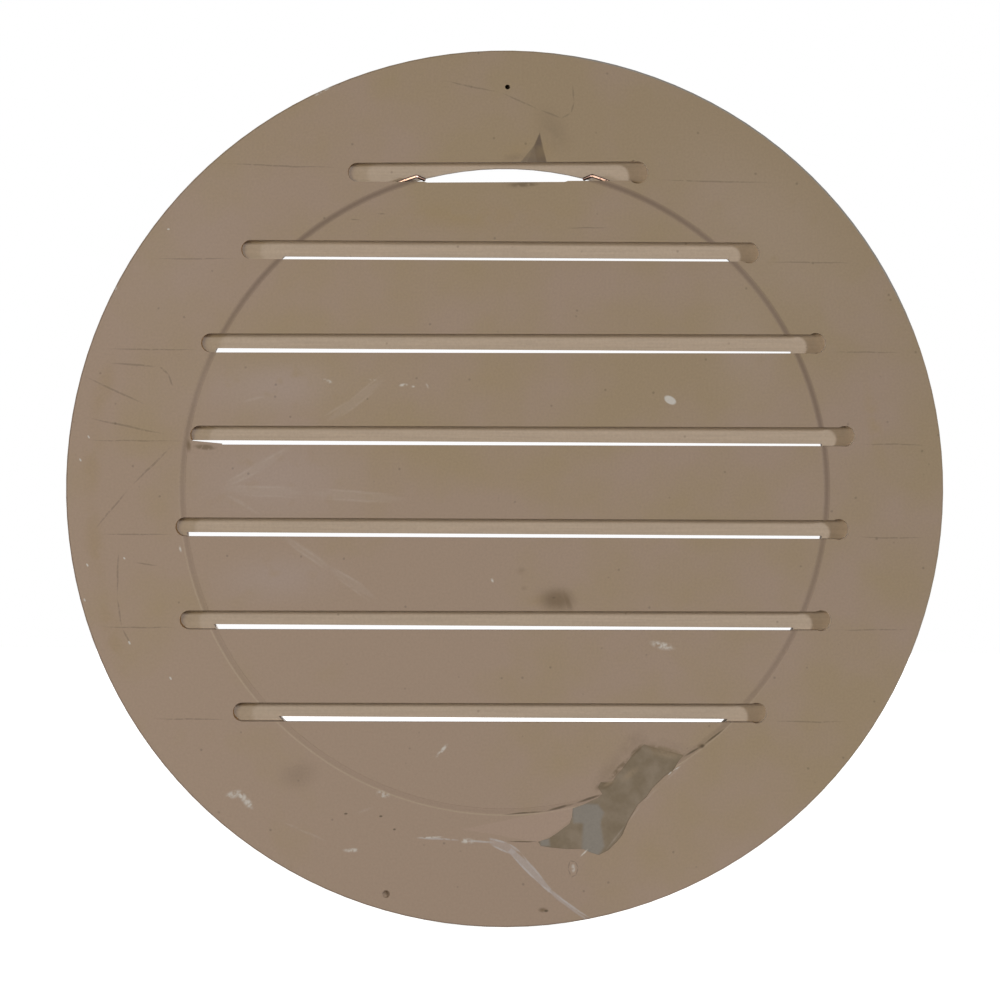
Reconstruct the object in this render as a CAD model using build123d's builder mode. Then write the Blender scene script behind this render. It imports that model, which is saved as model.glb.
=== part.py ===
from build123d import *
import os
from math import acos, cos, degrees, radians, sin, sqrt, tan

# Round gable vent, cast in one piece, with louvre slats on its front and air slots routed into its flat back.
# The back lies on the XZ plane and faces -Y, the louvres face +Y, and +Z is up. Sizes are in millimetres.
# Left and right are as seen from the back.

# Frame
overall_diameter = 610.0
frame_thickness = 41.0
opening_diameter = 447.6
front_rim_bevel = 4.0
back_rim_bevel = 0.9
trim_bevel = 8.0  # round the front of the opening

# Louvre slats
slat_count = 7
slat_lap = 2.1  # the top slat starts this far above the crown of the opening
web_thickness = 4.0  # a slat at its thin upper edge
lip_setback = 9.0  # from the front of the frame to the lips
lip_height = 9.0
lip_radius = 2.0
slat_embed = 10.0  # length of a slat's end inside the frame

# Air slots, routed into the back by hand with a half-inch cutter
slot_width = 13.2
slot_depth = 14.0
slot_drop = 2.0  # lower edge of a slot below the lip in front of it, which is the air gap
top_slot_drop = 9.3  # lower edge of the top slot below the crown of the opening
plunge_growth = 0.6  # the cutter wandered where it was plunged, at the right of each slot
# For each slot from the top: its run past the opening on the left and on the right, its tilt in degrees,
# and how far the plunge stands above the line of the slot
slot_runs = [
    (46.2, 33.8, 0.6, -1.5),
    (27.0, 18.6, 0.05, -0.5),
    (9.0, 19.6, 0.25, 0.4),
    (-2.9, 21.3, 0.2, 0.4),
    (7.4, 17.8, 0.1, 0.2),
    (24.0, 25.8, 0.25, 0.2),
    (33.4, 28.1, 0.23, 0.0),
]
# Second pass of the cutter along the lower edge of the top slot
recut_left = 61.0  # from the middle of the vent
recut_right = 46.0
recut_drop = 0.75
# Wedge that was left standing on the slat at the left end of one slot
wedge_slot = 3  # counted from the top slot, which is 0
wedge_length = 22.0
wedge_height = 2.0
# Plug that was left in the right end of one air gap
plug_slot = 2
plug_length = 3.4
plug_height = 2.6

# Sink line in the back, over the edge of the opening
sink_outset = 0.3
sink_width = 4.2
sink_floor_width = 3.4
sink_depth = 0.15

# Cast-in wire on each side, which leaves the sink line in the top slot and ends there in a hook
wire_diameter = 2.4
wire_depth = 2.8  # from the back to the centre of the wire
wire_outset = 1.9  # from the middle of the sink line
wire_clearance = 0.05
wire_buried_length = 25.0  # beside the sink line
wire_lead = 5.0  # start of the straight stub, inside the casting
left_stub = 14.2  # straight length
right_stub = 17.6
hook_reach = 5.7
hook_fall = 2.4
hook_sink = 4.0
hook_radius = 2.2

# Blind nail hole near the top, and a chipped pit near the bottom
nail_diameter = 3.4
nail_depth = 16.0
nail_inset = 25.3  # from the rim
nail_offset = 0.3
pit_inset = 11.4  # from the rim
pit_angle = 196.0  # clockwise from the top
pit_radius = 2.6

# Chip broken off the upper edge of the top slot, at its right end
chip_length = 13.0
chip_height = 1.9
chip_peak = 4.0  # from the left end of the chip
chip_depth = 3.0

# Skin flaked off across the sink line, low on the right
flake_angle = 158.85  # clockwise from the top
flake_depth = 0.5
# Corners of the flake, across and up from its place on the sink line
flake_outline = [
    *[(17.5, 32.5), (24.5, 30.0), (35.0, 27.5), (45.0, 25.0)],
    *[(42.0, 21.5), (37.5, 14.0), (32.0, 10.5), (27.0, 5.5), (23.0, 1.5), (19.5, -4.0), (13.5, -9.5)],
    *[(7.0, -20.5), (2.5, -31.0), (-1.5, -36.0), (-7.0, -41.5), (-13.5, -45.0), (-19.0, -43.5)],
    *[(-24.5, -41.0), (-36.5, -41.0), (-47.5, -40.0), (-54.0, -39.0), (-56.0, -36.0), (-48.5, -33.5)],
    *[(-43.0, -30.0), (-38.5, -26.5), (-34.0, -23.0), (-32.5, -18.5), (-32.0, -12.5), (-25.0, -10.0)],
    *[(-14.5, -5.0), (-11.5, -2.5), (-14.5, 2.5), (-12.5, 6.0), (-5.5, 5.0), (-2.0, 10.5), (1.5, 14.5)],
    (10.5, 26.5),
]

# Worked out from the sizes above
overall_radius = overall_diameter / 2
opening_radius = opening_diameter / 2
slat_pitch = (opening_diameter + slat_lap) / slat_count
panel_radius = opening_radius + slat_embed
lip_depth = frame_thickness - lip_setback
sink_radius = opening_radius + sink_outset
wire_radius = sink_radius + wire_outset


# Height at which a slat starts, which is the height of the lip in front of its slot
def step_height(index):
    return opening_radius + slat_lap - index * slat_pitch


# Height of the lower edge of a slot
def slot_base(index):
    return step_height(index) - slot_drop if index else opening_radius - top_slot_drop


# Half the width of the opening at the lower edge of a slot
def half_chord(index):
    return sqrt(opening_radius**2 - slot_base(index) ** 2)


# Left and right end of a slot
def slot_ends(index):
    left_run, right_run = slot_runs[index][:2]
    return -half_chord(index) - left_run, half_chord(index) + right_run


# Point of the back at a radius and an angle clockwise from the top
def clock_point(radius, angle):
    return radius * sin(radians(angle)), radius * cos(radians(angle))


# Wire of a given thickness: an arc beside the sink line, then the straight stub and the hook.
# The side is -1 on the left and 1 on the right.
def cast_in_wire(side, stub, diameter):
    first_angle = degrees(acos(slot_base(0) / wire_radius) + wire_lead / wire_radius)
    last_angle = first_angle + degrees(wire_buried_length / wire_radius)
    with BuildPart() as wire:
        with BuildLine(Plane.XZ.offset(-wire_depth)) as path:
            arc = CenterArc((0, 0), wire_radius, 90 - side * last_angle, side * (last_angle - first_angle))
            corner = arc @ 1 + (arc % 1) * stub
            hook_end = corner + Vector(-side * hook_reach, hook_sink, -hook_fall)
            FilletPolyline(arc @ 1, corner, hook_end, radius=hook_radius)
        with BuildSketch(Plane(origin=arc @ 0, z_dir=arc % 0)):
            Circle(diameter / 2)
        sweep(path=path.wires()[0])
    return wire


left_wire = cast_in_wire(-1, left_stub, wire_diameter)
right_wire = cast_in_wire(1, right_stub, wire_diameter)
channel_diameter = wire_diameter + 2 * wire_clearance
channels = [cast_in_wire(side, stub, channel_diameter) for side, stub in ((-1, left_stub), (1, right_stub))]

# Saw-tooth panel of slats, which the frame takes in
with BuildPart() as slat_panel:
    with BuildSketch(Plane.YZ):
        with BuildLine():
            profile = [(0, panel_radius), (web_thickness, panel_radius)]
            for index in range(slat_count):
                lowest = index == slat_count - 1
                profile += [
                    (web_thickness, step_height(index)),
                    (lip_depth, step_height(index + 1) + lip_height),
                    (lip_depth, -panel_radius if lowest else step_height(index + 1)),
                ]
            Polyline(*profile, (0, -panel_radius), close=True)
        make_face()
    extrude(amount=panel_radius, both=True)
    front_edges = slat_panel.edges().filter_by(Axis.X).group_by(Axis.Y)[-1]
    fillet(front_edges.sort_by(Axis.Z)[1:], radius=lip_radius)
    with BuildSketch(Plane.XZ):
        Circle(panel_radius)
    extrude(amount=-frame_thickness, mode=Mode.INTERSECT)

with BuildPart() as vent_body:
    # Frame, turned about the Y axis
    with BuildSketch(Plane.XY) as frame_profile:
        with BuildLine():
            Polyline(
                (opening_radius, 0),
                (overall_radius, 0),
                (overall_radius, frame_thickness),
                (opening_radius + trim_bevel, frame_thickness),
                (opening_radius, frame_thickness - trim_bevel),
                close=True,
            )
        make_face()
        chamfer(frame_profile.vertices().group_by(Axis.X)[-1].sort_by(Axis.Y)[-1], length=front_rim_bevel)
        chamfer(frame_profile.vertices().group_by(Axis.X)[-1].sort_by(Axis.Y)[0], length=back_rim_bevel)
    revolve(axis=Axis.Y)
    add(slat_panel.part)

    # Sink line
    with BuildSketch(Plane.XY):
        with BuildLine():
            Polyline(
                (sink_radius - sink_width / 2, 0),
                (sink_radius - sink_floor_width / 2, sink_depth),
                (sink_radius + sink_floor_width / 2, sink_depth),
                (sink_radius + sink_width / 2, 0),
                close=True,
            )
        make_face()
    revolve(axis=Axis.Y, mode=Mode.SUBTRACT)

    # Air slots
    for index, (left_run, right_run, tilt, plunge_rise) in enumerate(slot_runs):
        left, right = slot_ends(index)
        middle = (left + right) / 2
        centre_height = slot_base(index) + slot_width / 2
        plunge = right - slot_width / 2
        plunge_height = centre_height + (plunge - middle) * tan(radians(tilt)) + plunge_rise
        with BuildSketch(Plane.XZ):
            with Locations((middle, centre_height)):
                SlotOverall(right - left, slot_width, rotation=tilt)
            with Locations((plunge, plunge_height)):
                Circle(slot_width / 2 + plunge_growth)
        extrude(amount=-slot_depth, mode=Mode.SUBTRACT)

    # Second pass along the top slot
    with BuildSketch(Plane.XZ):
        with Locations(((recut_right - recut_left) / 2, slot_base(0) - recut_drop + slot_width / 2)):
            SlotOverall(recut_left + recut_right, slot_width, rotation=slot_runs[0][2])
    extrude(amount=-slot_depth, mode=Mode.SUBTRACT)

    # Wedge and plug left standing
    wedge_left = slot_ends(wedge_slot)[0]
    wedge_base = slot_base(wedge_slot)
    with BuildSketch(Plane.XZ):
        with BuildLine():
            Polyline(
                (wedge_left, wedge_base - slot_drop),
                (wedge_left, wedge_base + wedge_height),
                (wedge_left + wedge_length, wedge_base),
                (wedge_left + wedge_length, wedge_base - slot_drop),
                close=True,
            )
        make_face()
    extrude(amount=-web_thickness)
    with BuildSketch(Plane.XZ.offset(-slot_depth)):
        with Locations((half_chord(plug_slot) - plug_length, slot_base(plug_slot))):
            Rectangle(plug_length + slat_embed, plug_height, align=(Align.MIN, Align.MIN))
    extrude(amount=-web_thickness)

    # Chip at the right end of the top slot
    chip_right = slot_ends(0)[1] - plunge_growth
    chip_base = slot_base(0) + slot_width / 2
    chip_top = slot_base(0) + slot_width + chip_height
    with BuildSketch(Plane.XZ):
        with BuildLine():
            Polyline(
                (chip_right - chip_length, chip_base),
                (chip_right - chip_length, chip_top - chip_height),
                (chip_right - chip_length + chip_peak, chip_top),
                (chip_right, chip_base),
                close=True,
            )
        make_face()
    extrude(amount=-chip_depth, mode=Mode.SUBTRACT)

    # Channels of the cast-in wires
    for channel in channels:
        add(channel.part, mode=Mode.SUBTRACT)

    # Nail hole and pit
    with BuildSketch(Plane.XZ):
        with Locations((nail_offset, overall_radius - nail_inset)):
            Circle(nail_diameter / 2)
    extrude(amount=-nail_depth, mode=Mode.SUBTRACT)
    pit_x, pit_z = clock_point(overall_radius - pit_inset, pit_angle)
    with Locations((pit_x, 0, pit_z)):
        Sphere(pit_radius, mode=Mode.SUBTRACT)

    # Flaked skin
    flake_x, flake_z = clock_point(sink_radius, flake_angle)
    with BuildSketch(Plane.XZ):
        with BuildLine():
            Polyline(*[(flake_x + across, flake_z + up) for across, up in flake_outline], close=True)
        make_face()
    extrude(amount=-flake_depth, mode=Mode.SUBTRACT)

vent_body.part.label = "vent_body"
left_wire.part.label = "left_wire"
right_wire.part.label = "right_wire"

os.makedirs("parts", exist_ok=True)
export_step(vent_body.part, "parts/vent_body.step")
export_step(left_wire.part, "parts/left_wire.step")
export_step(right_wire.part, "parts/right_wire.step")
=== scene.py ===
from math import atan2, cos, radians, sin

import bpy
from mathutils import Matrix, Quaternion, Vector


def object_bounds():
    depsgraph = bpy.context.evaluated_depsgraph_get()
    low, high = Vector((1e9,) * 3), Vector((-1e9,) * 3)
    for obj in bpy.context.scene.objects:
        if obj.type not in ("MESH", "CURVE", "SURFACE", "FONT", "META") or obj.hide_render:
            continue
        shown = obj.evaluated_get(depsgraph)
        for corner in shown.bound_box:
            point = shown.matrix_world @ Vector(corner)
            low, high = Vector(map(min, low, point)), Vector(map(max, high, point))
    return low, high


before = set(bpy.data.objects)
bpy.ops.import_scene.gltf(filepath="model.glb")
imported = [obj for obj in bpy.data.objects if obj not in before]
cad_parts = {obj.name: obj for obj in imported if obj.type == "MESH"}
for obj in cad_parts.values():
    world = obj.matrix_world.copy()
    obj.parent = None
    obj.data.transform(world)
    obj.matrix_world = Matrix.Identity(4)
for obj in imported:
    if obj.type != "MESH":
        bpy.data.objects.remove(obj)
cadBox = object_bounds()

# Round gable vent seen from its flat back. The frame is in metres, and marks and patterns are in millimetres.
millimetre = 0.001

# The picture: where the camera stands, and how it is turned
picture = {
    "aim": (-0.00315, 0, -0.00685),  # point of the vent in the middle of the picture
    "distance": 3.6,
    "elevation": radians(2.0),
    "roll": radians(0.35),  # the vent hangs with its right side a little low
    "pixels": 1000,
    "mmPerPixel": 0.6953,  # at the aim
    "sensor": 36.0,
}
aim = Vector(picture["aim"])
cameraPlace = aim + picture["distance"] * Vector((0, -cos(picture["elevation"]), sin(picture["elevation"])))
cameraTurn = (aim - cameraPlace).to_track_quat("-Z", "Y") @ Quaternion((0, 0, 1), picture["roll"])

# Sizes of the casting that the finishes follow
casting = {
    "rimRadius": (cadBox[1].x - cadBox[0].x) / 2 / millimetre,
    "sinkRadius": 224.1,
    "sinkWidth": 4.2,
    "slotPitch": 64.243,
    "slotWidth": 13.2,
    "secondSlotBase": 159.66,
    "topSlotBase": 214.5,
    "slotMargin": (1.2, 1.4),  # room below and above a slot for the hand-held cutter
    "topSlotMargin": 2.0,
    "slotReach": 265.0,  # no slot runs farther from the middle
    "cutDepth": (0.7, 14.3),  # depths between which a face in a slot is bare foam
    "skinDepth": 3.0,  # marks reach no deeper
    "flakeDepth": 0.5,
    "flakeMargin": 0.2,
}


# sRGB hex to the linear colour that Blender mixes
def linearColour(code):
    channels = [int(code[i : i + 2], 16) / 255 for i in (1, 3, 5)]
    return [c / 12.92 if c <= 0.04045 else ((c + 0.055) / 1.055) ** 2.4 for c in channels] + [1.0]


# Point of the back, in millimetres, that shows at a pixel of the picture
def backPoint(pixel):
    half = picture["pixels"] / 2
    across, up = (pixel[0] - half) * picture["mmPerPixel"], (half - pixel[1]) * picture["mmPerPixel"]
    ray = cameraTurn @ Vector((across * millimetre, up * millimetre, -picture["distance"]))
    return (cameraPlace - ray * cameraPlace.y / ray.y) / millimetre


# Adds one node with its settings; an input takes a plain value, a socket, or a node's first live output
def addNode(tree, kind, settings={}, inputs={}):
    node = tree.nodes.new("ShaderNode" + kind)
    for name, value in settings.items():
        setattr(node, name, value)
    for socket, value in inputs.items():
        if isinstance(value, bpy.types.Node):
            value = next(output for output in value.outputs if output.enabled)
        if isinstance(value, bpy.types.NodeSocket):
            tree.links.new(value, node.inputs[socket])
        else:
            node.inputs[socket].default_value = value
    return node


# Nodes that come up again and again
def calculate(tree, operation, first, second):
    return addNode(tree, "Math", {"operation": operation}, {0: first, 1: second})


def changeRange(tree, value, source, target=(0, 1)):
    return addNode(tree, "MapRange", {}, {
        "Value": value, "From Min": source[0], "From Max": source[1], "To Min": target[0], "To Max": target[1]})


def layColour(tree, amount, below, above):
    return addNode(tree, "Mix", {"data_type": "RGBA"}, {0: amount, 6: below, 7: above})


def addNoise(tree, point, size, detail=2):
    return addNode(tree, "TexNoise", {}, {"Vector": point, "Scale": 1 / size, "Detail": detail})


def measureAlong(tree, point, direction):
    return addNode(tree, "VectorMath", {"operation": "DOT_PRODUCT"}, {0: point, 1: direction}).outputs["Value"]


# Gradient that is placed on the back, turned there and stretched
def addGradient(tree, point, kind, place, angle, size):
    gradient = addNode(tree, "TexGradient", {"gradient_type": kind}, {"Vector": point})
    gradient.texture_mapping.vector_type = "TEXTURE"
    gradient.texture_mapping.translation = place
    gradient.texture_mapping.rotation = (0, angle, 0)
    gradient.texture_mapping.scale = size
    return gradient.outputs["Fac"]


# Mask of strokes, each drawn from pixel to pixel with a width in millimetres, and tapering at its ends
def strokeMask(tree, point, lines, edge):
    total = 0.0
    for width, *pixels in lines:
        for first, last in zip(pixels, pixels[1:]):
            start, end = backPoint(first), backPoint(last)
            run = end - start
            size = ((run.length + width) / 2, casting["rimRadius"], width / 2)
            spot = addGradient(tree, point, "SPHERICAL", (start + end) / 2, atan2(-run.z, run.x), size)
            total = calculate(tree, "MAXIMUM", total, spot)
    return addNode(tree, "MapRange", {"interpolation_type": "SMOOTHSTEP"}, {"Value": total, "From Max": edge})


# Mask of a patch with straight sides, whose corners are pixels in clockwise order
def patchMask(tree, point, corners, edge):
    least = 1.0
    size = (edge, casting["rimRadius"], casting["rimRadius"])
    for first, last in zip(corners, corners[1:] + corners[:1]):
        start, run = backPoint(first), backPoint(last) - backPoint(first)
        inward = Vector((run.z, 0, -run.x)).normalized()
        inside = addGradient(tree, point, "EASING", start - inward * edge / 2, atan2(run.x, run.z), size)
        least = calculate(tree, "MINIMUM", least, inside)
    return least


# Empty node tree of a material or a world
def emptyTree(owner):
    owner.use_nodes = True
    owner.node_tree.nodes.clear()
    return owner.node_tree


print("helpers ready")

# Colours of the casting, and the sizes of its patterns in millimetres
skin = {
    "olive": "#917e65",
    "pink": "#94806f",
    # the sink line's brown, laid with painted shade, and its painted highlight
    "sinkBrownAndShade": "#5d4b40",
    "sinkHighlight": "#a3917c",
    "cutFoam": "#ac9a87",
    # painted shade for the walls at the left ends of the slots, and painted light for those at the right ends
    "shadedLeftEndFoam": "#8a663c",
    "litRightEndFoam": "#e2d3be",
    "rimDust": "#86898b",
    "flakeDark": "#70624f",
    "flakeGrey": "#7d6f5e",
    "flakePale": "#7d766d",
    "cloudSize": 150.0,
    "blotchSize": 55.0,
    "cloudRange": (0.8, 1.1),  # sums of the two patterns at which the skin is all olive and all pink
    "pinkening": (-0.0005, 0, -0.0005),  # change of that sum for each millimetre to the right and up
    "fading": (-0.00022, 0, -0.00021),  # change of tone for each millimetre to the right and up
    "middleTone": 0.985,
    "sinkEdge": (-1.5, 0.6),  # where the brown starts to fade and where it ends, from the edge of the sink line
    "sinkShadeFacing": (0.3, 0, 0.95),  # direction in which the painted shade on the line is darkest
    "sinkFade": (-200, 120),  # places along that direction, and the strength at each
    "sinkStrength": (0.1, 0.68),
    "sinkLightPlace": 0.3,
    "sinkLightEdge": (0.2, 0.8),
    "sinkLightFade": (-40, -160),
    "sinkLightStrength": (0, 0.7),
    "dustEdge": (1.4, 0.8),  # from the rim inward
    "dustFacing": (0.6, 0, 0.8),
    "dustFade": (255, 275),
    "dustStrength": (0, 0.6),
    "wobbleSize": 22.0,
    "wobble": 2.0,
    "patchEdge": 1.0,
    "filmEdge": 3.0,
    "levelNormal": -0.9,
    "flakeRange": (0.38, 0.6),
    "breakRange": (0.2, 0.4),  # noise at which a stroke is gone and whole, if it hardly breaks
    "breakShift": 0.25,
    "streakLength": 45.0,
    "streakWidth": 1.3,
    "streakTone": (0.95, 1.05),
    "endNormal": (0.2, 0.6),
    "speckSpacing": 15.0,
    "speckEdge": (0.03, 0.08),
    "speckTone": (0.72, 1),
    "grainSize": 1.7,
    "grainTone": (0.96, 1.04),
    "noiseRange": (0.3, 0.7),
    "bumpHeight": 0.05,
    "bumpStrength": 0.4,
    "roughness": 0.62,
    "specular": 0.3,
}

# Strokes on the back: colour, strength, softness, size of the breaks in them and how much they break, and the width
# and the pixels of each
strokes = {
    "rubbedArea": {"colour": "#9a887d", "amount": 0.75, "edge": 1.0, "breaks": (14.0, 0.1), "lines": [
        (95.0, (215, 480), (330, 480)),
        (50.0, (230, 390), (320, 385)),
        (50.0, (225, 580), (330, 575)),
    ]},
    "pinkTint": {"colour": "#9a887d", "amount": 0.28, "edge": 1.0, "breaks": (14.0, 0.0), "lines": [
        (110.0, (690, 150), (840, 300)),
        (110.0, (115, 350), (250, 155)),
        (80.0, (735, 285), (752, 395)),
        (80.0, (120, 392), (400, 374)),
    ]},
    "oliveTint": {"colour": "#8c7754", "amount": 0.35, "edge": 1.0, "breaks": (14.0, 0.6), "lines": [
        (20.0, (112, 360), (95, 420), (90, 500), (100, 590), (125, 680)),
        (16.0, (866, 380), (882, 465)),
        (14.0, (526, 600), (546, 600)),
        (26.0, (500, 152), (566, 146)),
        (30.0, (350, 216), (600, 216)),
    ]},
    "rubbedBand": {"colour": "#a39488", "amount": 0.22, "edge": 0.4, "breaks": (14.0, 0.0), "lines": [
        (8.0, (220, 488), (306, 493), (406, 499)),
        (8.0, (224, 488), (290, 448)),
        (7.0, (328, 421), (384, 379)),
        (7.0, (283, 537), (330, 568), (374, 597)),
    ]},
    "rubbedLine": {"colour": "#ab9c90", "amount": 0.28, "edge": 0.9, "breaks": (3.5, 0.3), "lines": [
        (2.6, (222, 486), (306, 488), (403, 495)),
        (2.6, (226, 494), (306, 498), (403, 503)),
        (2.6, (222, 484), (258, 465), (290, 446)),
        (2.6, (226, 487), (262, 470)),
        (4.0, (222, 492), (264, 517)),
        (2.4, (285, 536), (328, 565), (370, 589)),
        (2.4, (285, 541), (330, 573), (374, 604)),
        (2.4, (334, 422), (382, 386)),
        (2.4, (322, 418), (350, 400), (384, 372)),
        (3.0, (240, 402), (268, 396)),
        (2.4, (284, 823), (300, 829), (328, 842)),
        (2.0, (296, 828), (314, 836)),
        (3.0, (356, 814), (375, 806)),
        (2.0, (604, 852), (628, 822), (642, 803), (660, 786), (690, 757)),
    ]},
    "shade": {"colour": "#6b5a47", "amount": 0.3, "edge": 1.0, "breaks": (14.0, 0.2), "lines": [
        (30.0, (292, 776), (304, 773)),
        (9.0, (297, 767), (302, 777)),
        (30.0, (548, 598), (560, 600)),
        (7.0, (519, 571), (523, 570)),
        (5.0, (523, 588), (525, 588)),
        (8.0, (500, 184), (540, 184)),
        (30.0, (546, 118), (560, 142)),
        (9.0, (504, 158), (526, 157)),
        (17.0, (597, 787), (621, 753), (640, 735)),
        (13.0, (622, 738), (692, 750)),
    ]},
    "blot": {"colour": "#64513b", "amount": 0.75, "edge": 0.9, "breaks": (14.0, -0.5), "lines": [
        (22.0, (549, 600), (566, 600)),
        (9.0, (563, 591), (571, 610)),
        (5.0, (540, 910), (545, 910)),
        (5.0, (699, 746.5), (703, 746)),
        (5.0, (188, 440), (189, 451)),
    ]},
    "stain": {"colour": "#5f4f3a", "amount": 0.7, "edge": 0.7, "breaks": (3.5, 0.4), "lines": [
        (5.5, (194, 446), (215, 448)),
        (4.5, (508, 184.5), (540, 184.5)),
        (2.0, (547, 163), (575, 163.5)),
        (7.0, (597, 788), (613, 783)),
        (5.0, (608, 781), (630, 757), (642, 745)),
        (7.0, (642, 746), (684, 755)),
    ]},
    "pencil": {"colour": "#5a4d40", "amount": 0.38, "edge": 0.6, "breaks": (3.5, 0.3), "lines": [
        (1.5, (215, 163.5), (345, 168)),
        (1.5, (650, 180), (780, 183)),
        (1.3, (150, 259), (240, 258.5)),
        (1.3, (762, 262), (860, 263)),
        (1.4, (100, 349), (205, 350)),
        (1.4, (826, 352), (905, 353)),
        (1.4, (80, 440), (188, 441.5)),
        (1.4, (856, 444), (930, 445)),
        (1.4, (97, 534), (176, 534.5)),
        (1.4, (850, 537), (930, 538)),
        (1.4, (97, 627), (182, 627.5)),
        (1.4, (832, 629.5), (915, 630)),
        (1.4, (150, 719), (232, 719)),
        (1.4, (766, 721), (850, 722)),
        (1.6, (440, 80), (500, 92), (540, 110), (562, 118), (571, 113), (574, 102), (573, 85)),
        (1.9, (108, 363), (160, 367), (168, 374), (173, 386)),
        (1.9, (82, 375), (148, 406)),
        (1.9, (84, 417), (170, 435.5)),
        (1.9, (172, 446), (130, 487), (94, 531)),
        (1.5, (135, 562), (158, 566)),
        (1.7, (119, 548), (117, 598), (122, 628), (131, 645)),
        (1.2, (570, 861), (575, 862), (578, 868), (576, 875), (571, 877), (568, 869), (570, 861)),
        (1.2, (376, 214), (386, 214)),
        (1.2, (350, 220), (360, 220)),
        (1.2, (563, 228), (612, 228)),
    ]},
    "cracksAndPitShade": {"colour": "#3f3322", "amount": 0.75, "edge": 0.7, "breaks": (14.0, 0.1), "lines": [
        (1.4, (500, 815), (548, 811)),
        (2.4, (545, 811.5), (575, 804), (603, 794.5)),
        # painted shade: a dark dot that fills the pit
        (4.5, (385.5, 893), (387, 894)),
        (1.2, (505, 841), (540, 842)),
        (1.8, (726, 727), (702, 746), (683, 757)),
        (3.2, (701, 746.5), (703, 745.5)),
        (2.6, (545, 911), (547, 911)),
        (2.0, (553, 598), (555, 598)),
        (2.0, (345, 814), (347, 814)),
        (2.0, (380, 816), (382, 816)),
        (2.0, (394, 829), (395, 829)),
        (1.8, (328, 252), (329, 252)),
    ]},
    "pale": {"colour": "#c2bcb4", "amount": 0.85, "edge": 0.8, "breaks": (3.5, 0.7), "lines": [
        (7.0, (228, 796), (239, 793), (245, 800), (251, 806)),
        (4.0, (344, 850), (359, 850)),
        (6.0, (378, 793), (387, 795)),
        (3.5, (436, 757), (448, 743)),
        (5.0, (460, 840), (474, 841)),
        (2.0, (416, 838), (445, 837)),
        (7.0, (652, 643), (672, 648)),
        (3.5, (322, 380), (331, 382)),
        (2.5, (370, 379), (376, 380)),
        (2.4, (491, 578), (493, 582)),
        (1.6, (548, 163.5), (553, 163.5)),
        (1.6, (568, 163), (573, 163)),
        (2.8, (400, 386), (407, 385)),
        (2.0, (411, 387), (414, 387)),
        (2.2, (426, 384), (428, 388)),
        (1.2, (668, 775), (672, 771), (681, 766)),
        (1.6, (580, 857), (588, 849)),
        (4.0, (573, 866), (573, 871)),
        (2.2, (179, 545), (181, 551)),
        (2.4, (312, 97), (336, 84)),
        (2.0, (113, 294), (117, 286)),
    ]},
    "drop": {"colour": "#bdb8b1", "amount": 0.85, "edge": 0.35, "breaks": (14.0, 0.0), "lines": [
        (6.2, (667.5, 398.5), (672.5, 401.5)),
        (1.6, (129, 642), (130, 644)),
        (1.4, (168, 229), (169, 229)),
        (1.4, (170, 677), (171, 679)),
        (1.3, (124, 558), (125, 559)),
        (1.3, (88, 436), (89, 438)),
        (1.3, (80, 459), (81, 461)),
        (1.3, (87, 564), (88, 566)),
        (1.3, (84, 599), (85, 601)),
    ]},
    "scratch": {"colour": "#b2acaa", "amount": 0.55, "edge": 0.6, "breaks": (3.5, 0.3), "lines": [
        (2.0, (414, 838), (463, 840), (496, 843)),
        (1.8, (488, 839), (508, 843), (521, 853), (547, 884)),
        (1.8, (491, 845), (510, 854), (540, 884), (552, 894)),
        (1.8, (550, 891), (594, 921)),
    ]},
    "thinSkin": {"colour": "#8a7861", "amount": 0.6, "edge": 0.9, "breaks": (3.5, 0.4), "lines": [
        (12.0, (646, 748), (688, 757)),
        (7.0, (622, 781), (638, 768)),
        (4.0, (602, 787), (616, 780)),
    ]},
}

# Patches on the back: colour, strength and corners
patches = {
    "greyWedge": ("#56473a", 0.95, [(539.5, 133), (547, 162.5), (527, 162.5)]),
    "greyFoot": ("#66584a", 0.8, [(534, 146), (537, 162.5), (520, 162.5)]),
    "skimTongue": ("#9f897a", 0.55, [(462, 829), (550, 811), (573, 807), (572, 819), (550, 836), (538, 842)]),
    "scratchTop": ("#a89d99", 0.4, [(490, 838), (506, 842), (517, 851), (512, 855), (490, 844)]),
    "scratchMiddle": ("#aba3a1", 0.5, [(511, 848), (527, 861), (551, 889), (548, 892), (521, 866), (508, 852)]),
    "scratchEnd": ("#a89f9c", 0.5, [(547, 885), (560, 896), (591, 917), (588, 921), (556, 899), (546, 889)]),
}
# Pale film on the floor of the flake
filmPatches = [
    [(571, 809), (584, 804), (598, 805), (604, 813), (600, 823), (574, 823)],
    [(584, 815), (600, 820), (604, 846), (597, 856), (582, 850)],
    [(541, 838), (549, 839), (550, 846), (540, 847)],
]
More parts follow.
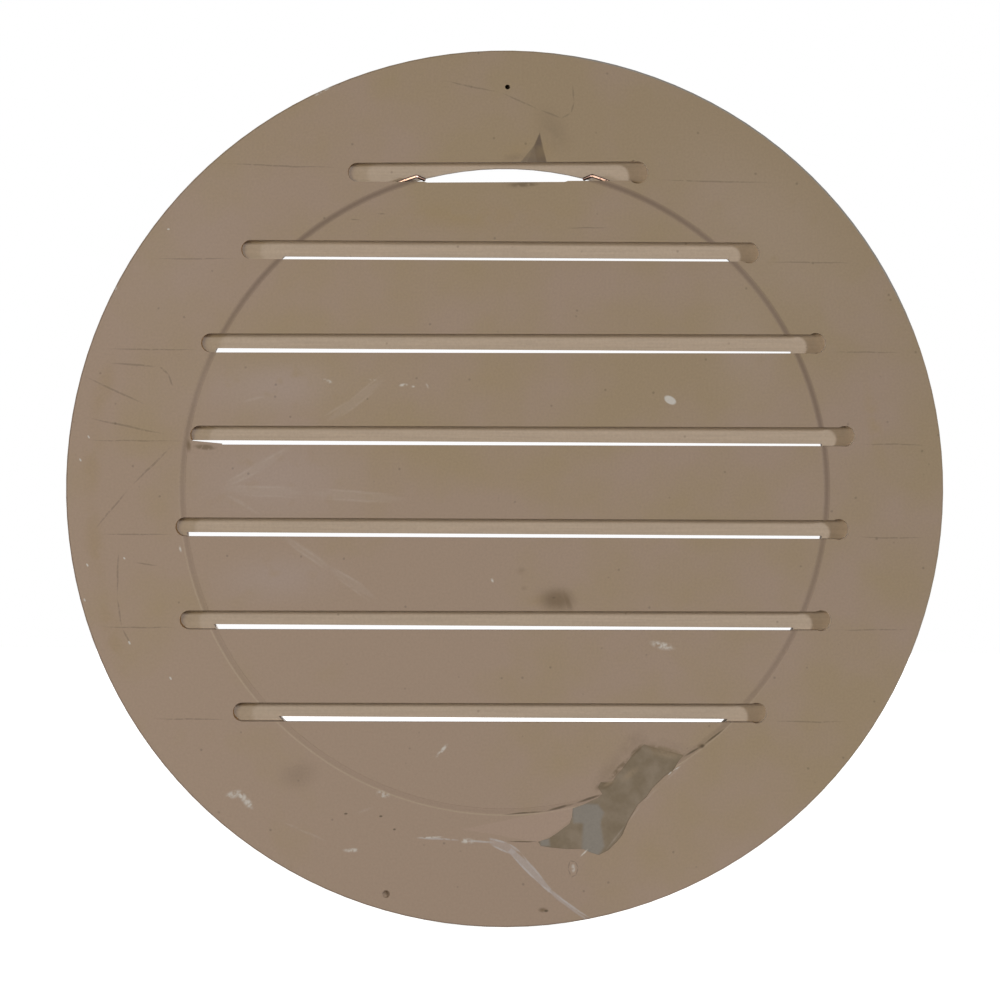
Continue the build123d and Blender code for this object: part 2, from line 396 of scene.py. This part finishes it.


# Rigid polyurethane, cast in an open mould and unpainted: dull tan skin with pinkish and olive clouds, lighter and
# drier foam where the router cut through the skin, painted shade on the walls at the left ends of the slots and
# painted light on those at the right ends, and a brown line where the skin sank, laid with painted shade and a
# painted highlight
def castPolyurethane():
    material = bpy.data.materials.new("castPolyurethane")
    tree = emptyTree(material)
    colour = {name: linearColour(value) for name, value in skin.items() if isinstance(value, str)}
    place = addNode(tree, "TexCoord").outputs["Object"]
    point = addNode(tree, "VectorMath", {"operation": "SCALE"}, {0: place, "Scale": 1 / millimetre})
    axes = addNode(tree, "SeparateXYZ", {}, {0: point})
    depth, height = axes.outputs["Y"], axes.outputs["Z"]
    flat = addNode(tree, "VectorMath", {"operation": "MULTIPLY"}, {0: point, 1: (1, 0, 1)})
    radius = addNode(tree, "VectorMath", {"operation": "LENGTH"}, {0: flat})
    onBack = calculate(tree, "LESS_THAN", depth, casting["skinDepth"])

    # Lays a colour over the skin of the back, where a mask and a strength say
    def layOnBack(below, mask, strength, above):
        mask = calculate(tree, "MULTIPLY", mask, strength)
        mask = calculate(tree, "MULTIPLY", mask, onBack)
        return layColour(tree, mask, below, above)

    # Skin: clouds of two tans, paler to the left and lower down
    cloud = addNoise(tree, point, skin["cloudSize"])
    blotch = addNoise(tree, point, skin["blotchSize"], 3)
    grain = addNoise(tree, point, skin["grainSize"])
    clouds = calculate(tree, "ADD", cloud, blotch)
    clouds = calculate(tree, "ADD", clouds, measureAlong(tree, flat, skin["pinkening"]))
    pinkness = changeRange(tree, clouds, skin["cloudRange"])
    base = layColour(tree, pinkness, colour["olive"], colour["pink"])
    fading = calculate(tree, "ADD", measureAlong(tree, flat, skin["fading"]), skin["middleTone"])
    base = addNode(tree, "VectorMath", {"operation": "MULTIPLY"}, {0: base, 1: fading})

    # Sink line in its own brown, laid with painted shade that makes it darkest at the top
    half = casting["sinkWidth"] / 2
    offset = calculate(tree, "SUBTRACT", radius, casting["sinkRadius"])
    distance = addNode(tree, "Math", {"operation": "ABSOLUTE"}, {0: offset})
    sink = changeRange(tree, distance, [half + step for step in skin["sinkEdge"]], (1, 0))
    facing = measureAlong(tree, flat, skin["sinkShadeFacing"])
    strength = changeRange(tree, facing, skin["sinkFade"], skin["sinkStrength"])
    base = layOnBack(base, sink, strength, colour["sinkBrownAndShade"])
    # Painted highlight: a thin light edge just outside the line, strongest at the bottom
    distance = calculate(tree, "SUBTRACT", offset, half + skin["sinkLightPlace"])
    distance = addNode(tree, "Math", {"operation": "ABSOLUTE"}, {0: distance})
    light = changeRange(tree, distance, skin["sinkLightEdge"], (1, 0))
    strength = changeRange(tree, facing, skin["sinkLightFade"], skin["sinkLightStrength"])
    base = layOnBack(base, light, strength, colour["sinkHighlight"])

    # Dust on the bevel of the rim, at the upper right
    dust = changeRange(tree, radius, [casting["rimRadius"] - step for step in skin["dustEdge"]])
    facing = measureAlong(tree, flat, skin["dustFacing"])
    strength = changeRange(tree, facing, skin["dustFade"], skin["dustStrength"])
    base = layOnBack(base, dust, strength, colour["rimDust"])

    # Patches, on a surface that wobbles a little so that no side is quite straight
    wobble = addNoise(tree, point, skin["wobbleSize"]).outputs["Color"]
    wobble = addNode(tree, "VectorMath", {"operation": "SUBTRACT"}, {0: wobble, 1: (0.5, 0.5, 0.5)})
    wobble = addNode(tree, "VectorMath", {"operation": "SCALE"}, {0: wobble, "Scale": skin["wobble"]})
    drawn = addNode(tree, "VectorMath", {"operation": "ADD"}, {0: flat, 1: wobble})
    for code, amount, corners in patches.values():
        mask = patchMask(tree, drawn, corners, skin["patchEdge"])
        base = layOnBack(base, mask, amount, linearColour(code))

    # Bare darker layer on the floor of the flake, with a pale film on part of it
    breakSizes = sorted({kind["breaks"][0] for kind in strokes.values()})
    breakNoise = {size: addNoise(tree, point, size) for size in breakSizes}
    turned = addNode(tree, "SeparateXYZ", {}, {0: addNode(tree, "TexCoord").outputs["Normal"]})
    level = calculate(tree, "LESS_THAN", turned.outputs["Y"], skin["levelNormal"])
    inFlake = addNode(tree, "Math", {"operation": "COMPARE"}, {
        0: depth, 1: casting["flakeDepth"], 2: casting["flakeMargin"]})
    inFlake = calculate(tree, "MULTIPLY", inFlake, level)
    darkness = changeRange(tree, breakNoise[breakSizes[-1]], skin["flakeRange"])
    bare = layColour(tree, darkness, colour["flakeGrey"], colour["flakeDark"])
    for corners in filmPatches:
        film = patchMask(tree, drawn, corners, skin["filmEdge"])
        bare = layColour(tree, film, bare, colour["flakePale"])
    base = layColour(tree, inFlake, base, bare)

    # Strokes, each broken up by its noise
    for kind in strokes.values():
        mask = strokeMask(tree, drawn, kind["lines"], kind["edge"])
        size, broken = kind["breaks"]
        limits = [limit + skin["breakShift"] * broken for limit in skin["breakRange"]]
        strength = changeRange(tree, breakNoise[size], limits, (0, kind["amount"]))
        base = layOnBack(base, mask, strength, linearColour(kind["colour"]))

    # Routed slots: every face between the back and the slot floors, in the height of a slot
    below, over = casting["slotMargin"]
    rise = calculate(tree, "SUBTRACT", height, casting["secondSlotBase"] - below)
    rise = calculate(tree, "FLOORED_MODULO", rise, casting["slotPitch"])
    inSlot = calculate(tree, "LESS_THAN", rise, below + casting["slotWidth"] + over)
    inTopSlot = calculate(tree, "GREATER_THAN", height, casting["topSlotBase"] - casting["topSlotMargin"])
    inSlot = calculate(tree, "MAXIMUM", inSlot, inTopSlot)
    shallow, deep = casting["cutDepth"]
    routed = addNode(tree, "Math", {"operation": "COMPARE"}, {
        0: depth, 1: (deep + shallow) / 2, 2: (deep - shallow) / 2})
    within = calculate(tree, "LESS_THAN", radius, casting["slotReach"])
    cut = calculate(tree, "MULTIPLY", inSlot, routed)
    cut = calculate(tree, "MULTIPLY", cut, within)
    streaks = addNode(tree, "VectorMath", {"operation": "DIVIDE"}, {
        0: point, 1: (skin["streakLength"], skin["streakLength"], skin["streakWidth"])})
    streaks = changeRange(tree, addNoise(tree, streaks, 1, 3), skin["noiseRange"], skin["streakTone"])
    foam = addNode(tree, "VectorMath", {"operation": "MULTIPLY"}, {0: colour["cutFoam"][:3], 1: streaks})
    base = layColour(tree, cut, base, foam)
    # Painted shade darkens the walls at the left ends of the slots, which face right, and painted light lightens
    # those at the right ends, which face left
    for name, side in (("shadedLeftEndFoam", 1), ("litRightEndFoam", -1)):
        ends = changeRange(tree, turned.outputs["X"], [side * limit for limit in skin["endNormal"]])
        ends = calculate(tree, "MULTIPLY", ends, cut)
        base = layColour(tree, ends, base, colour[name])

    # Grain and small dark specks all over
    specks = addNode(tree, "TexVoronoi", {}, {"Vector": point, "Scale": 1 / skin["speckSpacing"]})
    specks = changeRange(tree, specks, skin["speckEdge"], skin["speckTone"])
    tone = changeRange(tree, grain, skin["noiseRange"], skin["grainTone"])
    tone = calculate(tree, "MULTIPLY", tone, specks)
    base = addNode(tree, "VectorMath", {"operation": "MULTIPLY"}, {0: base, 1: tone})
    bump = addNode(tree, "Bump", {}, {
        "Strength": skin["bumpStrength"], "Distance": skin["bumpHeight"] * millimetre, "Height": grain})
    shader = addNode(tree, "BsdfPrincipled", {}, {
        "Base Color": base, "Roughness": skin["roughness"], "Specular IOR Level": skin["specular"], "Normal": bump})
    addNode(tree, "OutputMaterial", {}, {"Surface": shader})
    return material


copper = {
    # painted highlight, and the colour of tarnish and of the painted dark reflection
    "paintedHighlight": "#f0c4b0",
    "tarnishAndDarkReflection": "#2c1c14",
    "roughness": 0.3,
    "tarnishSize": 2.5,
    "tarnishRange": (0.58, 0.68),
    "flankRange": (0.75, 0.9),
}


# Drawn copper wire with a painted highlight in pinkish white along the side that faces out of the back, a painted
# dark reflection, nearly black, on its flanks, and tarnish nearly black in patches
def copperWire():
    material = bpy.data.materials.new("copperWire")
    tree = emptyTree(material)
    place = addNode(tree, "TexCoord").outputs["Object"]
    tarnishAndFlankReflection = addNoise(tree, place, copper["tarnishSize"] * millimetre, 3)
    tarnishAndFlankReflection = changeRange(tree, tarnishAndFlankReflection, copper["tarnishRange"])
    # Painted dark reflection on the flanks, which turn away from the outward side; the outward side keeps the
    # painted highlight
    outward = measureAlong(tree, addNode(tree, "TexCoord").outputs["Normal"], (0, -1, 0))
    darkFlankReflection = changeRange(tree, outward, copper["flankRange"], (1, 0))
    tarnishAndFlankReflection = calculate(tree, "MAXIMUM", tarnishAndFlankReflection, darkFlankReflection)
    tone = layColour(tree, tarnishAndFlankReflection, linearColour(copper["paintedHighlight"]), linearColour(copper["tarnishAndDarkReflection"]))
    shader = addNode(tree, "BsdfPrincipled", {}, {
        "Base Color": tone, "Metallic": 1.0, "Roughness": copper["roughness"]})
    addNode(tree, "OutputMaterial", {}, {"Surface": shader})
    return material


finishes = {"vent_body": castPolyurethane(), "left_wire": copperWire()}
finishes["right_wire"] = finishes["left_wire"]
for name, finish in finishes.items():
    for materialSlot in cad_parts[name].material_slots:
        materialSlot.material = finish
print("finishes set")

# Studio: white floor and background, a lamp far off on each side, one beside the camera, and one for the louvres
studio = {
    "ambient": "#665b50",  # dim and warm, from the room
    "floorSize": 6.0,
    "floorGlow": 0.96,
    "floorColour": "#bcbcbc",
    "lamps": {
        "rightLamp": {"place": (4.8, -5.1, 1.1), "size": 0.55, "power": 273.0, "colour": "#eaf3ff"},
        "leftLamp": {"place": (-4.1, -4.3, 0.45), "size": 0.55, "power": 73.6, "colour": "#e0e9ff"},
        "frontLamp": {"place": (-0.68, -3.2, 0.32), "size": 0.6, "power": 27.9, "colour": "#fff3ce"},
        "rearLamp": {"place": (2.6, 4.8, 1.9), "size": 1.2, "power": 250.0, "colour": "#ffffff"},
    },
}


# 1 where the background itself is seen, straight or mirrored, and 0 where it only gives light
def seenItself(tree):
    path = addNode(tree, "LightPath")
    seen = calculate(tree, "MAXIMUM", path.outputs["Is Camera Ray"], path.outputs["Is Glossy Ray"])
    return calculate(tree, "MAXIMUM", seen, path.outputs["Is Transmission Ray"])


def studioWorld():
    world = bpy.data.worlds.new("studioWorld")
    tree = emptyTree(world)
    glow = layColour(tree, seenItself(tree), linearColour(studio["ambient"]), (1, 1, 1, 1))
    background = addNode(tree, "Background", {}, {"Color": glow, "Strength": 1.0})
    addNode(tree, "OutputWorld", {}, {"Surface": background})
    bpy.context.scene.world = world


# White floor that glows for the camera and still takes a faint shadow
def studioFloor():
    bpy.ops.object.select_all(action="DESELECT")
    bpy.ops.mesh.primitive_plane_add(size=studio["floorSize"], location=(0, 0, cadBox[0].z))
    floor = bpy.context.object
    floor.name = "studioFloor"
    material = bpy.data.materials.new("whiteFloor")
    tree = emptyTree(material)
    glow = calculate(tree, "MULTIPLY", seenItself(tree), studio["floorGlow"])
    light = addNode(tree, "Emission", {}, {"Color": (1, 1, 1, 1), "Strength": glow})
    matt = addNode(tree, "BsdfDiffuse", {}, {"Color": linearColour(studio["floorColour"])})
    both = addNode(tree, "AddShader", {}, {0: light, 1: matt})
    addNode(tree, "OutputMaterial", {}, {"Surface": both})
    floor.data.materials.append(material)


def studioLamps():
    for name, lamp in studio["lamps"].items():
        bpy.ops.object.light_add(type="AREA", location=lamp["place"])
        light = bpy.context.object
        light.name = name
        light.data.shape = "SQUARE"
        light.data.size = lamp["size"]
        light.data.energy = lamp["power"]
        light.data.color = linearColour(lamp["colour"])[:3]
        light.rotation_euler = (-Vector(lamp["place"])).to_track_quat("-Z", "Y").to_euler()


def studioCamera():
    bpy.ops.object.camera_add(location=cameraPlace, rotation=cameraTurn.to_euler())
    camera = bpy.context.object
    camera.name = "studioCamera"
    camera.data.sensor_width = picture["sensor"]
    across = picture["pixels"] * picture["mmPerPixel"] * millimetre
    camera.data.lens = picture["sensor"] * picture["distance"] / across
    bpy.context.scene.camera = camera


studioWorld()
studioFloor()
studioLamps()
studioCamera()
bpy.context.scene.view_settings.view_transform = "Standard"
print("studio ready")
